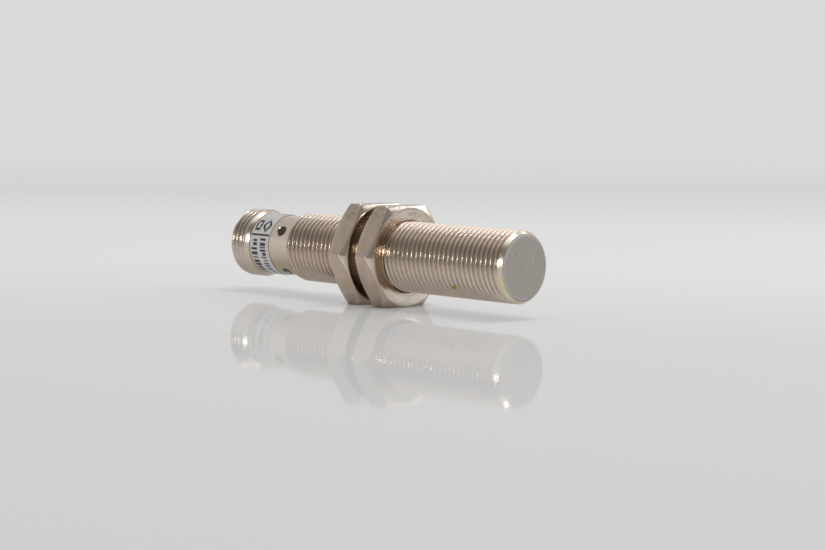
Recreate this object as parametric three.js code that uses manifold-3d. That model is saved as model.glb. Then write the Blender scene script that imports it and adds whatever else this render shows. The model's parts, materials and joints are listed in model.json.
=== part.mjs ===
// An M12 inductive proximity sensor with two lock nuts, in millimetres, +Z up.
// The origin is the centre of the sensing face and +X points out of it. Every depth below is
// measured back from the sensing face, so a piece at depth d lies at x = -d.

import * as THREE from "three";
import { mergeVertices } from "three/addons/utils/BufferGeometryUtils.js";
import Module from "manifold-3d";

const wasm = await Module();
wasm.setup();

// ---- Driving dimensions ----

// Barrel: front thread, smooth waist and connector thread, turned from one tube
const SENSOR_LENGTH = 63.5;
const THREAD_MAJOR_RADIUS = 5.94;
const WAIST_LENGTH = 9.75;
const WAIST_STEP = 0.69; // how far the waist lies below the thread crests
const CONNECTOR_THREAD_LENGTH = 4.7;
const TUBE_WALL = 0.45; // wall at the waist
const RIM_SETBACK = 0.2; // the tube's front edge lies this far behind the sensing face
const RIM_WALL = 0.1; // lip round the sensing cap
const REAR_CHAMFER = 0.5;
const BORE_CHAMFER = 0.12;
const THREAD_RUNOUT = 0.35;
const COLLAR_SLOPE = 0.12;

// Indicator windows and the ring that fills them
const WINDOW_COUNT = 4;
const WINDOW_RADIUS = 1.0;
const WINDOW_SETBACK = 2.6; // from the end of the front thread to the window centres
const FIRST_WINDOW_ANGLE = 58; // degrees from +Y towards +Z
const GUIDE_HALF_LENGTH = 1.6;
const GUIDE_WALL = 0.4;
const GUIDE_RECESS = 0.05; // the bosses stop this far below the waist

// Sensing cap and its gasket
const FACE_INSET = 0.59; // from the thread crests to the edge of the sensing face
const FACE_EDGE_ROUND = 0.35;
const CAP_FLANGE_THICKNESS = 0.45;
const CAP_FRONT_WALL = 0.8;
const CAP_SKIRT_WALL = 0.35;
const CAP_SKIRT_DEPTH = 9.5;
const GASKET_THICKNESS = 0.2;

// Coil system
const SCREEN_WALL = 0.25;
const SCREEN_OVERHANG = 2.4; // how far the screening ring reaches behind the core
const CORE_LENGTH = 3.2;
const CORE_BACK_WALL = 1.0;
const CORE_SKIRT_WALL = 0.6;
const CORE_POST_RADIUS = 1.5;
const BOBBIN_WALL = 0.25;
const LEAD_RADIUS = 0.12;
const LEAD_HOLE_RADIUS = 0.35;
const LEAD_LEAN = 0.3; // how far a lead comes in towards the axis on its way through the potting
const LEAD_REACH = 3.4; // from the board's tip to the place where a lead lies down
const LEAD_SLOPE_LENGTH = 1.2; // last stretch before that place
const LEAD_SLOPE_HEIGHT = 0.25;
const LEAD_LANDING_LENGTH = 1;
const POTTING_GAP = 0.45; // from the core's back to the potting
const POTTING_LENGTH = 1.9;

// Circuit board
const BOARD_SETBACK = 0.7; // from the potting's front to the board's tip
const BOARD_REAR_GAP = 0.4; // from the board to the contact insert
const BOARD_THICKNESS = 0.8;
const BOARD_EDGE_GAP = 0.75; // from the board's long edges to the bore
const TONGUE_INSET = 1.0; // the front tongue is narrower by this on each side
const TONGUE_LENGTH = 4.6;
const FIRST_PART_GAP = 0.5; // from the tongue's root to the parts' rows

// Board parts. A flat lead's foot and the gap under a package are the same on every package.
const EIGHT_LEAD = { length: 4.9, width: 3.9, height: 1.45, leadsPerSide: 4, pitch: 1.27, reach: 0.9 };
const FOUR_LEAD = { length: 2.9, width: 1.6, height: 1.1, leadsPerSide: 2, pitch: 1.9, reach: 0.55 };
const SIX_LEAD = { length: 4.5, width: 2.5, height: 1.5, leadsPerSide: 3, pitch: 1.5, reach: 0.8 };
const TWO_LEAD = { length: 4.2, width: 2.6, height: 2.0, leadsPerSide: 1, pitch: 0, reach: 0.5 };
const SMALL_CHIP = { length: 1.6, width: 0.8, height: 0.45 };
const MEDIUM_CHIP = { length: 2.0, width: 1.25, height: 0.9 };
const LARGE_CHIP = { length: 3.2, width: 1.6, height: 1.2 };
const LAMP = { length: 1.6, width: 0.8, height: 0.7 };
const FOOT_WIDTH = 0.4;
const FOOT_THICKNESS = 0.3;
const STAND_OFF = 0.05;
const CHIP_CAP_PROUD = 0.03; // the end caps are this much thicker than the ceramic
const CHIP_CAP_SHARE = 1 / 5; // of the chip's length
const LENS_SHARE = 2 / 3; // of the lamp's length
const LENS_INSET = 0.05;

// Connector
const INSERT_RECESS = 0.5; // the insert's rim lies this far inside the connector end
const CAVITY_DEPTH = 6.6; // from the connector rim to the insert's floor
const INSERT_WALL = 0.5;
const INSERT_SLIP = 0.075;
const PIN_CIRCLE_RADIUS = 2.5;
const PIN_COUNT = 4;
const PIN_RADIUS = 0.5;
const PIN_TIP_RECESS = 1.2;
const PIN_TIP_ROUND = 0.25;
const TAIL_RADIUS = 0.28;
const TAIL_LENGTH = 2.6; // how far a tail reaches forward of the insert
const TAIL_STUB = 0.3; // straight stretch next to the insert
const TAIL_LANDING = 0.6; // straight stretch on the board
const KEY_WIDTH = 0.9;
const KEY_HEIGHT = 0.6;
const KEY_RECESS = 0.6; // from the insert's rim to the end of the key
const SEAL_SECTION_RADIUS = 0.3;
const SEAL_GROOVE_SLACK = 0.05;

// Label
const LABEL_SETBACK = 1.4; // from the windows to the label
const LABEL_THICKNESS = 0.08;
const LABEL_SEAM_ANGLE = 340; // degrees from +Y towards +Z
const LABEL_SEAM_WIDTH = 8; // degrees left open

// Lock nuts
const NUT_ACROSS_FLATS = 17;
const NUT_THICKNESS = 4;
const NUT_CHAMFER_RADIUS = 8.25;
const NUT_CHAMFER_ANGLE = 30;
const NUT_COUNTERSINK = 0.3;
const FRONT_NUT_DEPTH = 25.4; // sensing face to the front nut
const NUT_GAP = 2.1; // room for a bracket between the nuts

// Clearances
const SLIP = 0.05; // round pieces that seat in each other
const NUT_CLEARANCE = 0.1; // nut bore over thread crests
const SURFACE_GAP = 0.04; // parts that lie on the board
const END_GAP = 0.1; // pieces that meet end to end

const OVERCUT = 1; // how far a cutting tool runs past what it cuts

const OUTER_SEGMENTS = 48;
const INNER_SEGMENTS = 32;
const HOLE_SEGMENTS = 16;
const SEAL_SIDES = 6;
const WIRE_SIDES = 6;
const LEAD_STEPS = 12;
const TAIL_STEPS = 8;

// ---- Sizes that follow from them ----

const waistRadius = THREAD_MAJOR_RADIUS - WAIST_STEP;
const boreRadius = waistRadius - TUBE_WALL;
const connectorDepth = SENSOR_LENGTH - CONNECTOR_THREAD_LENGTH;
const threadEnd = connectorDepth - WAIST_LENGTH;
const windowDepth = threadEnd + WINDOW_SETBACK;
const labelWidth = WAIST_LENGTH - WINDOW_SETBACK - WINDOW_RADIUS - LABEL_SETBACK - END_GAP;
const guideOuter = boreRadius - SLIP;

const faceRadius = THREAD_MAJOR_RADIUS - FACE_INSET;
const counterboreRadius = faceRadius + SLIP;
const gasketFront = CAP_FLANGE_THICKNESS + SLIP;
const counterboreDepth = gasketFront + GASKET_THICKNESS + SLIP;
const skirtOuter = boreRadius - SLIP;
const skirtInner = skirtOuter - CAP_SKIRT_WALL;

const screenOuter = skirtInner - 2 * SLIP;
const screenInner = screenOuter - SCREEN_WALL;
const coreFront = CAP_FRONT_WALL + SLIP;
const coreBack = coreFront + CORE_LENGTH;
const coreRadius = screenInner - 2 * SLIP;
const grooveOuter = coreRadius - CORE_SKIRT_WALL;
const grooveDepth = CORE_LENGTH - CORE_BACK_WALL;
const bobbinInner = CORE_POST_RADIUS + 2 * SLIP;
const bobbinOuter = grooveOuter - 2 * SLIP;
const bobbinLength = grooveDepth - 2 * SLIP;
const windingInner = bobbinInner + BOBBIN_WALL + SLIP;
const windingOuter = bobbinOuter - 2 * SLIP;
const windingLength = bobbinLength - 2 * BOBBIN_WALL - 2 * SLIP;
const bobbinFront = coreFront + SLIP;
const windingFront = bobbinFront + BOBBIN_WALL + SLIP;
const leadStart = windingFront + windingLength + SLIP;
const leadOffset = (windingInner + windingOuter) / 2;
const pottingFront = coreBack + POTTING_GAP;
const pottingRear = pottingFront + POTTING_LENGTH;
const boardFront = pottingFront + BOARD_SETBACK;
const boardShoulder = boardFront + TONGUE_LENGTH;
const leadLanding = boardFront + LEAD_REACH;

const insertFront = windowDepth + GUIDE_HALF_LENGTH + END_GAP;
const insertRear = SENSOR_LENGTH - INSERT_RECESS;
const insertFloor = SENSOR_LENGTH - CAVITY_DEPTH;
const insertRadius = boreRadius - INSERT_SLIP;
const cavityRadius = insertRadius - INSERT_WALL;
const sealRadius = boreRadius - SLIP - SEAL_SECTION_RADIUS;
const boardRear = insertFront - BOARD_REAR_GAP;
const boardHalfWidth = boreRadius - BOARD_EDGE_GAP;
const boardTop = BOARD_THICKNESS / 2;

const nutRadius = NUT_ACROSS_FLATS / 2;
const nutBore = THREAD_MAJOR_RADIUS + NUT_CLEARANCE;
const rearNutDepth = FRONT_NUT_DEPTH + NUT_THICKNESS + NUT_GAP;

// ---- Finishes ----

const finish = (color, roughness, metalness) =>
  new THREE.MeshStandardMaterial({ color, roughness, metalness });

const NICKEL = finish(0xb3a598, 0.32, 1.0);
const FACE_PLASTIC = finish(0x918d87, 0.65, 0.0);
const DARK_PLASTIC = finish(0x1c1c1e, 0.5, 0.0);
const RUBBER = finish(0x151515, 0.8, 0.0);
const FERRITE = finish(0x2e2d2f, 0.7, 0.1);
const BOBBIN_PLASTIC = finish(0xd8d2c2, 0.5, 0.0);
const COPPER = finish(0xb5652f, 0.35, 1.0);
const RESIN = finish(0x3a352c, 0.4, 0.0);
const BOARD_GREEN = finish(0x1f5a35, 0.5, 0.0);
const SMOKED = finish(0x2a1d12, 0.2, 0.0);
const GOLD = finish(0xd1a544, 0.25, 1.0);
const LABEL_GREY = finish(0xbab8b7, 0.45, 0.2);
const TIN = finish(0xb8bcc0, 0.35, 1.0);
const LED_CLEAR = finish(0xd9b23a, 0.2, 0.0);

// ---- Geometry helpers ----

const degrees = THREE.MathUtils.degToRad;

// A solid of revolution about X. Each profile point is [depth, radius]. A profile that doesn't
// start on the axis is closed on itself.
function turned(profile, segments = INNER_SEGMENTS) {
  const points = profile.map(([depth, radius]) => new THREE.Vector2(radius, depth));
  if (THREE.ShapeUtils.area(points) < 0) points.reverse();
  if (points[0].x > 0) points.push(points[0].clone());
  return new THREE.LatheGeometry(points, segments).rotateZ(Math.PI / 2);
}

// Points of a quarter round between two directions, given as angles about its centre.
function quarter(depth, radius, size, from, to, steps = 4) {
  return Array.from({ length: steps + 1 }, (_, i) => {
    const angle = degrees(from + ((to - from) * i) / steps);
    return [depth + size * Math.cos(angle), radius + size * Math.sin(angle)];
  });
}

// A tube wall from depth a to depth b.
const ring = (a, b, inner, outer, segments) =>
  turned([[a, inner], [b, inner], [b, outer], [a, outer]], segments);

// A solid bar along X from depth a to depth b.
const bar = (a, b, radius, segments) =>
  turned([[a, 0], [a, radius], [b, radius], [b, 0]], segments);

// A box that spans the given depths and is centred at y, z.
function block(a, b, width, height, y = 0, z = 0) {
  return new THREE.BoxGeometry(b - a, width, height).translate(-(a + b) / 2, y, z);
}

// A round bar along a curve through the points.
function wire(points, radius, steps) {
  const section = new THREE.Shape(
    Array.from({ length: WIRE_SIDES }, (_, i) => {
      const angle = (2 * Math.PI * i) / WIRE_SIDES;
      return new THREE.Vector2(radius * Math.cos(angle), radius * Math.sin(angle));
    }),
  );
  const path = new THREE.CatmullRomCurve3(points, false, "centripetal");
  return new THREE.ExtrudeGeometry(section, { steps, bevelEnabled: false, extrudePath: path });
}

// A cylinder from the axis outwards, at an angle from +Y towards +Z.
function spoke(depth, angle, radius, inner, outer) {
  return new THREE.CylinderGeometry(radius, radius, outer - inner, HOLE_SEGMENTS)
    .translate(0, (inner + outer) / 2, 0)
    .rotateX(degrees(angle))
    .translate(-depth, 0, 0);
}

function toSolid(geometry) {
  const bare = new THREE.BufferGeometry();
  bare.setAttribute("position", geometry.getAttribute("position"));
  bare.setIndex(geometry.getIndex());
  const merged = mergeVertices(bare, 1e-4);
  const mesh = new wasm.Mesh({
    numProp: 3,
    vertProperties: new Float32Array(merged.getAttribute("position").array),
    triVerts: new Uint32Array(merged.getIndex().array),
  });
  return new wasm.Manifold(mesh);
}

function toGeometry(solid) {
  const mesh = solid.getMesh();
  const geometry = new THREE.BufferGeometry();
  geometry.setAttribute("position", new THREE.BufferAttribute(mesh.vertProperties, 3));
  geometry.setIndex(new THREE.BufferAttribute(mesh.triVerts, 1));
  geometry.computeVertexNormals();
  return geometry;
}

const join = (first, ...others) =>
  toGeometry(others.reduce((sum, other) => sum.add(toSolid(other)), toSolid(first)));

const cut = (body, ...tools) =>
  toGeometry(tools.reduce((left, tool) => left.subtract(toSolid(tool)), toSolid(body)));

const common = (first, second) =>
  toGeometry(toSolid(first).intersect(toSolid(second)));

function piece(name, geometry, material) {
  const mesh = new THREE.Mesh(geometry, material);
  mesh.name = name;
  return mesh;
}

const windowAngles = Array.from(
  { length: WINDOW_COUNT },
  (_, i) => FIRST_WINDOW_ANGLE + (360 * i) / WINDOW_COUNT,
);

// ---- Barrel and label ----

// The tube's crests are plain here: its outside is the threads' major diameter.
function barrel() {
  const rim = counterboreRadius + RIM_WALL;
  const profile = [
    [RIM_SETBACK, rim],
    [RIM_SETBACK + THREAD_MAJOR_RADIUS - rim, THREAD_MAJOR_RADIUS],
    [threadEnd, THREAD_MAJOR_RADIUS],
    [threadEnd + THREAD_RUNOUT, waistRadius],
    [connectorDepth, waistRadius],
    [connectorDepth + COLLAR_SLOPE, THREAD_MAJOR_RADIUS],
    [SENSOR_LENGTH - REAR_CHAMFER, THREAD_MAJOR_RADIUS],
    [SENSOR_LENGTH, THREAD_MAJOR_RADIUS - REAR_CHAMFER],
    [SENSOR_LENGTH, boreRadius + BORE_CHAMFER],
    [SENSOR_LENGTH - BORE_CHAMFER, boreRadius],
    [counterboreDepth, boreRadius],
    [counterboreDepth, counterboreRadius],
    [RIM_SETBACK, counterboreRadius],
  ];
  const holes = windowAngles.map((angle) =>
    spoke(windowDepth, angle, WINDOW_RADIUS, boreRadius / 2, THREAD_MAJOR_RADIUS),
  );
  return cut(turned(profile, OUTER_SEGMENTS), ...holes);
}

// Foil that wraps the waist up to the connector collar, with an open seam.
function label() {
  const inner = waistRadius + SLIP / 2;
  const from = degrees(LABEL_SEAM_ANGLE + LABEL_SEAM_WIDTH / 2);
  const to = degrees(LABEL_SEAM_ANGLE - LABEL_SEAM_WIDTH / 2 + 360);
  const outline = new THREE.Shape();
  outline.absarc(0, 0, inner + LABEL_THICKNESS, from, to, false);
  outline.absarc(0, 0, inner, to, from, true);
  const rear = connectorDepth - END_GAP;
  // The outline is drawn in the plane across the axis and pushed out along X.
  return new THREE.ExtrudeGeometry(outline, {
    depth: labelWidth,
    bevelEnabled: false,
    curveSegments: OUTER_SEGMENTS,
  })
    .rotateX(Math.PI / 2)
    .rotateZ(Math.PI / 2)
    .translate(-rear, 0, 0);
}

// ---- Sensing end ----

// A cup: the face with a rounded edge, a flange on the tube's rim and a skirt inside the bore.
function sensingCap() {
  return turned([
    [0, 0],
    [0, faceRadius - FACE_EDGE_ROUND],
    ...quarter(FACE_EDGE_ROUND, faceRadius - FACE_EDGE_ROUND, FACE_EDGE_ROUND, 180, 90).slice(1),
    [CAP_FLANGE_THICKNESS, faceRadius],
    [CAP_FLANGE_THICKNESS, skirtOuter],
    [CAP_SKIRT_DEPTH, skirtOuter],
    [CAP_SKIRT_DEPTH, skirtInner],
    [CAP_FRONT_WALL, skirtInner],
    [CAP_FRONT_WALL, 0],
  ], OUTER_SEGMENTS);
}

const capGasket = () =>
  ring(
    gasketFront,
    gasketFront + GASKET_THICKNESS,
    skirtOuter + SLIP,
    counterboreRadius - SLIP,
    OUTER_SEGMENTS,
  );

// Where a lead runs: out of the winding, through the core's back and down to the board.
function leadPath(side) {
  const landing = boardTop + SURFACE_GAP + LEAD_RADIUS;
  return [
    [leadStart, leadOffset],
    [coreBack, leadOffset],
    [pottingRear, leadOffset - LEAD_LEAN],
    [leadLanding - LEAD_SLOPE_LENGTH, landing + LEAD_SLOPE_HEIGHT],
    [leadLanding, landing],
    [leadLanding + LEAD_LANDING_LENGTH, landing],
  ].map(([depth, height]) => new THREE.Vector3(-depth, 0, side * height));
}

const coilLead = (side) => wire(leadPath(side), LEAD_RADIUS, LEAD_STEPS);

const leadHoles = () =>
  [1, -1].map((side) =>
    bar(leadStart - SLIP / 2, coreBack + OVERCUT, LEAD_HOLE_RADIUS, HOLE_SEGMENTS)
      .translate(0, 0, side * leadOffset),
  );

// A pot core: a cup with a centre post, open to the front.
function ferriteCore() {
  const floor = coreFront + grooveDepth;
  const cup = turned([
    [coreFront, 0],
    [coreFront, CORE_POST_RADIUS],
    [floor, CORE_POST_RADIUS],
    [floor, grooveOuter],
    [coreFront, grooveOuter],
    [coreFront, coreRadius],
    [coreBack, coreRadius],
    [coreBack, 0],
  ]);
  return cut(cup, ...leadHoles());
}

// A spool in the core's groove. Its rear flange is pierced for the leads.
function coilBobbin() {
  const rear = bobbinFront + bobbinLength;
  const tube = bobbinInner + BOBBIN_WALL;
  const spool = turned([
    [bobbinFront, bobbinInner],
    [bobbinFront, bobbinOuter],
    [bobbinFront + BOBBIN_WALL, bobbinOuter],
    [bobbinFront + BOBBIN_WALL, tube],
    [rear - BOBBIN_WALL, tube],
    [rear - BOBBIN_WALL, bobbinOuter],
    [rear, bobbinOuter],
    [rear, bobbinInner],
  ]);
  return cut(spool, ...leadHoles());
}

const coilWinding = () =>
  ring(windingFront, windingFront + windingLength, windingInner, windingOuter);

const screeningRing = () =>
  ring(coreFront, coreBack + SCREEN_OVERHANG, screenInner, screenOuter);

// A disc of resin behind the core, cast round the board's tongue and the leads.
function frontPotting() {
  const slot = block(
    boardFront - END_GAP,
    pottingRear + OVERCUT,
    2 * (boardHalfWidth - TONGUE_INSET + END_GAP),
    BOARD_THICKNESS + 2 * END_GAP,
  );
  const leads = [1, -1].map((side) => wire(leadPath(side), LEAD_RADIUS + END_GAP, LEAD_STEPS));
  return cut(bar(pottingFront, pottingRear, coreRadius), slot, ...leads);
}

// ---- Circuit board and its parts ----

// The board lies across the bore, with a narrower tongue that reaches into the potting.
function circuitBoard() {
  const wide = boardHalfWidth;
  const narrow = boardHalfWidth - TONGUE_INSET;
  const outline = new THREE.Shape([
    new THREE.Vector2(-boardFront, -narrow),
    new THREE.Vector2(-boardFront, narrow),
    new THREE.Vector2(-boardShoulder, narrow),
    new THREE.Vector2(-boardShoulder, wide),
    new THREE.Vector2(-boardRear, wide),
    new THREE.Vector2(-boardRear, -wide),
    new THREE.Vector2(-boardShoulder, -wide),
    new THREE.Vector2(-boardShoulder, -narrow),
  ]);
  return new THREE.ExtrudeGeometry(outline, { depth: BOARD_THICKNESS, bevelEnabled: false })
    .translate(0, 0, -BOARD_THICKNESS / 2);
}

// A moulded package centred on its own origin, standing on z = 0, with flat leads on both sides.
function leadedPackage({ length, width, height, leadsPerSide, pitch, reach }) {
  const body = block(
    -length / 2,
    length / 2,
    width,
    height - 2 * STAND_OFF,
    0,
    height / 2 + STAND_OFF,
  );
  const feet = Array.from({ length: leadsPerSide }, (_, i) => {
    const middle = (i - (leadsPerSide - 1) / 2) * pitch;
    return block(
      middle - FOOT_WIDTH / 2,
      middle + FOOT_WIDTH / 2,
      width + 2 * reach,
      FOOT_THICKNESS,
      0,
      FOOT_THICKNESS / 2,
    );
  });
  return join(body, ...feet);
}

// A chip part: a ceramic body between two slightly thicker end caps.
function chipPart({ length, width, height }) {
  const cap = length * CHIP_CAP_SHARE;
  const proud = CHIP_CAP_PROUD;
  return join(
    block(
      -length / 2 + proud,
      length / 2 - proud,
      width - 2 * proud,
      height - 2 * proud,
      0,
      height / 2,
    ),
    block(-length / 2, -length / 2 + cap, width, height, 0, height / 2),
    block(length / 2 - cap, length / 2, width, height, 0, height / 2),
  );
}

// A surface-mount lamp: a base with a narrower lens.
function lampPart({ length, width, height }) {
  const lens = (length * LENS_SHARE) / 2;
  return join(
    block(-length / 2, length / 2, width, height / 2, 0, height / 4),
    block(-lens, lens, width - 2 * LENS_INSET, height - LENS_INSET, 0, (height + LENS_INSET) / 2),
  );
}

// Parts stand in two rows, one on each side of the board, at an even pitch between its tongue and
// the lamps. A large part always has a small one beside it.
function boardParts() {
  const from = boardShoulder + FIRST_PART_GAP;
  const to = windowDepth - GUIDE_HALF_LENGTH;
  const rows = [
    [1, [
      ["oscillator_ic", leadedPackage(EIGHT_LEAD), DARK_PLASTIC],
      ["resistor_1", chipPart(SMALL_CHIP), DARK_PLASTIC],
      ["timing_capacitor", chipPart(MEDIUM_CHIP), BOBBIN_PLASTIC],
      ["voltage_regulator", leadedPackage(FOUR_LEAD), DARK_PLASTIC],
      ["resistor_2", chipPart(SMALL_CHIP), DARK_PLASTIC],
      ["protection_diode", leadedPackage(TWO_LEAD), DARK_PLASTIC],
    ]],
    [-1, [
      ["resistor_3", chipPart(SMALL_CHIP), DARK_PLASTIC],
      ["filter_capacitor", chipPart(LARGE_CHIP), BOBBIN_PLASTIC],
      ["resistor_4", chipPart(SMALL_CHIP), DARK_PLASTIC],
      ["output_transistor", leadedPackage(SIX_LEAD), DARK_PLASTIC],
    ]],
  ];
  const group = new THREE.Group();
  for (const [side, parts] of rows) {
    const face = new THREE.Group();
    face.rotation.x = side > 0 ? 0 : Math.PI;
    parts.forEach(([name, geometry, material], i) => {
      const part = piece(name, geometry, material);
      const depth = from + ((to - from) * (i + 0.5)) / parts.length;
      part.position.set(-depth, 0, boardTop + SURFACE_GAP);
      face.add(part);
    });
    const lampName = side > 0 ? "status_led_top" : "status_led_bottom";
    const lamp = piece(lampName, lampPart(LAMP), LED_CLEAR);
    lamp.position.set(-windowDepth, 0, boardTop + SURFACE_GAP);
    face.add(lamp);
    group.add(face);
  }
  return group;
}

// A translucent ring inside the waist, with a boss in each window.
function lightGuide() {
  const bosses = windowAngles.map((angle) =>
    spoke(
      windowDepth,
      angle,
      WINDOW_RADIUS - SLIP,
      guideOuter - GUIDE_WALL / 2,
      waistRadius - GUIDE_RECESS,
    ),
  );
  const band = ring(
    windowDepth - GUIDE_HALF_LENGTH,
    windowDepth + GUIDE_HALF_LENGTH,
    guideOuter - GUIDE_WALL,
    guideOuter,
  );
  return join(band, ...bosses);
}

// ---- Connector ----

const pinAngles = Array.from({ length: PIN_COUNT }, (_, i) => 45 + (360 * i) / PIN_COUNT);

const pinCentre = (angle) => [
  PIN_CIRCLE_RADIUS * Math.cos(degrees(angle)),
  PIN_CIRCLE_RADIUS * Math.sin(degrees(angle)),
];

// The contact carrier: a base with a seal groove and four holes, and a keyed cup behind it.
function contactInsert() {
  const grooveMiddle = (insertFront + insertFloor) / 2;
  const grooveHalf = SEAL_SECTION_RADIUS + SEAL_GROOVE_SLACK;
  const grooveRadius = sealRadius - grooveHalf;
  const cup = turned([
    [insertFront, 0],
    [insertFront, insertRadius],
    [grooveMiddle - grooveHalf, insertRadius],
    [grooveMiddle - grooveHalf, grooveRadius],
    [grooveMiddle + grooveHalf, grooveRadius],
    [grooveMiddle + grooveHalf, insertRadius],
    [insertRear, insertRadius],
    [insertRear, cavityRadius],
    [insertFloor, cavityRadius],
    [insertFloor, 0],
  ]);
  const key = block(
    insertFloor - END_GAP,
    insertRear - KEY_RECESS,
    KEY_WIDTH,
    KEY_HEIGHT + INSERT_WALL / 2,
    0,
    cavityRadius + INSERT_WALL / 4 - KEY_HEIGHT / 2,
  );
  const holes = pinAngles.map((angle) => {
    const [y, z] = pinCentre(angle);
    return bar(insertFront - OVERCUT, insertFloor + OVERCUT, PIN_RADIUS + SLIP, HOLE_SEGMENTS)
      .translate(0, y, z);
  });
  return cut(join(cup, key), ...holes);
}

const insertSeal = () =>
  new THREE.TorusGeometry(sealRadius, SEAL_SECTION_RADIUS, SEAL_SIDES, INNER_SEGMENTS)
    .rotateY(Math.PI / 2)
    .translate(-(insertFront + insertFloor) / 2, 0, 0);

// A contact: a round pin in the cavity, and a tail that steps down to the board.
function contactPin(angle) {
  const [y, z] = pinCentre(angle);
  const tip = SENSOR_LENGTH - PIN_TIP_RECESS;
  const pin = turned([
    [insertFront, 0],
    [insertFront, PIN_RADIUS],
    [tip - PIN_TIP_ROUND, PIN_RADIUS],
    ...quarter(tip - PIN_TIP_ROUND, PIN_RADIUS - PIN_TIP_ROUND, PIN_TIP_ROUND, 90, 0, 3).slice(1),
    [tip, 0],
  ], HOLE_SEGMENTS).translate(0, y, z);
  const landing = Math.sign(z) * (boardTop + SURFACE_GAP + TAIL_RADIUS);
  const tail = wire([
    new THREE.Vector3(-insertFront - PIN_RADIUS, y, z),
    new THREE.Vector3(-insertFront + TAIL_STUB, y, z),
    new THREE.Vector3(-insertFront + TAIL_LENGTH / 2, y, (z + landing) / 2),
    new THREE.Vector3(-insertFront + TAIL_LENGTH - TAIL_LANDING, y, landing),
    new THREE.Vector3(-insertFront + TAIL_LENGTH, y, landing),
  ], TAIL_RADIUS, TAIL_STEPS);
  return join(pin, tail);
}

// ---- Lock nuts ----

// A hexagon with both faces chamfered by a cone, bored to clear the thread crests. The nut's own
// front face lies at x = 0 and two of its flats face up and down.
function lockNut() {
  const corner = nutRadius / Math.cos(degrees(30));
  const reach = corner + OVERCUT;
  const chamfer = (reach - NUT_CHAMFER_RADIUS) * Math.tan(degrees(NUT_CHAMFER_ANGLE));
  const hexagon = new THREE.CylinderGeometry(corner, corner, NUT_THICKNESS, 6, 1, false, Math.PI / 6)
    .rotateZ(Math.PI / 2)
    .translate(-NUT_THICKNESS / 2, 0, 0);
  const cones = turned([
    [0, 0],
    [0, NUT_CHAMFER_RADIUS],
    [chamfer, reach],
    [NUT_THICKNESS - chamfer, reach],
    [NUT_THICKNESS, NUT_CHAMFER_RADIUS],
    [NUT_THICKNESS, 0],
  ], OUTER_SEGMENTS);
  const sink = nutBore + NUT_COUNTERSINK;
  const bore = turned([
    [-OVERCUT, 0],
    [-OVERCUT, sink + OVERCUT],
    [NUT_COUNTERSINK, nutBore],
    [NUT_THICKNESS - NUT_COUNTERSINK, nutBore],
    [NUT_THICKNESS + OVERCUT, sink + OVERCUT],
    [NUT_THICKNESS + OVERCUT, 0],
  ], OUTER_SEGMENTS);
  return cut(common(hexagon, cones), bore);
}

function placedNut(name, depth) {
  const nut = piece(name, lockNut(), NICKEL);
  nut.position.x = -depth;
  return nut;
}

// ---- Assembly ----

const sensor = new THREE.Group();

const housing = new THREE.Group();
housing.add(
  piece("barrel", barrel(), NICKEL),
  piece("label", label(), LABEL_GREY),
  piece("sensing_cap", sensingCap(), FACE_PLASTIC),
  piece("cap_gasket", capGasket(), RUBBER),
  piece("light_guide", lightGuide(), SMOKED),
);

const coil = new THREE.Group();
coil.add(
  piece("ferrite_core", ferriteCore(), FERRITE),
  piece("coil_bobbin", coilBobbin(), BOBBIN_PLASTIC),
  piece("coil_winding", coilWinding(), COPPER),
  piece("coil_lead_start", coilLead(1), COPPER),
  piece("coil_lead_end", coilLead(-1), COPPER),
  piece("screening_ring", screeningRing(), TIN),
  piece("front_potting", frontPotting(), RESIN),
);

const electronics = new THREE.Group();
electronics.add(piece("circuit_board", circuitBoard(), BOARD_GREEN), boardParts());

const connector = new THREE.Group();
connector.add(
  piece("contact_insert", contactInsert(), DARK_PLASTIC),
  piece("insert_seal", insertSeal(), RUBBER),
);
pinAngles.forEach((angle, i) => {
  connector.add(piece(`contact_pin_${i + 1}`, contactPin(angle), GOLD));
});

sensor.add(
  housing,
  coil,
  electronics,
  connector,
  placedNut("front_nut", FRONT_NUT_DEPTH),
  placedNut("rear_nut", rearNutDepth),
);

export default sensor;
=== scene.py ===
"""The looks of an M12 proximity sensor with two lock nuts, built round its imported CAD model.

Shapes are worked out in millimetres as grids of points: x runs along the barrel's axis, and an
angle about the axis is counted from +Y towards +Z. make_piece turns them into a mesh in metres.
"""

import json
import math

import bmesh
import bpy
import numpy as np
from mathutils import Matrix, Vector


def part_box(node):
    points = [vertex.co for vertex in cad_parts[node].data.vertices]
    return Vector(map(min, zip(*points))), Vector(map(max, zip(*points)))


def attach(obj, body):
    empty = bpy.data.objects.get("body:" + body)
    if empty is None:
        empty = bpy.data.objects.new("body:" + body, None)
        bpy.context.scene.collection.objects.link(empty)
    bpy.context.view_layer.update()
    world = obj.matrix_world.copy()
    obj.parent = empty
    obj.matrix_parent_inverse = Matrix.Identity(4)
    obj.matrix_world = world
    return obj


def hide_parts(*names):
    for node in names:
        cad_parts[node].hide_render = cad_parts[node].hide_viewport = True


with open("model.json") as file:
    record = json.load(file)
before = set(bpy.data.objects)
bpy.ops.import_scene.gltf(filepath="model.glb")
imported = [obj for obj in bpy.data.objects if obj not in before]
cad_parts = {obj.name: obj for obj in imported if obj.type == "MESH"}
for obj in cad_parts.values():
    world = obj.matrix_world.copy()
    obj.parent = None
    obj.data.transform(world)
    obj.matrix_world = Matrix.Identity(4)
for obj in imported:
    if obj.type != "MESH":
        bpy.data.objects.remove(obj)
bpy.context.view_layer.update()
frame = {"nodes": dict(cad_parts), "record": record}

MM = 0.001
TURN = 2 * math.pi

# ---- Sizes that the frame gives, in millimetres ----


def span(node):
    """Lowest and highest corner of a CAD node, in millimetres."""
    low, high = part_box(node)
    return np.array(low) / MM, np.array(high) / MM


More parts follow.
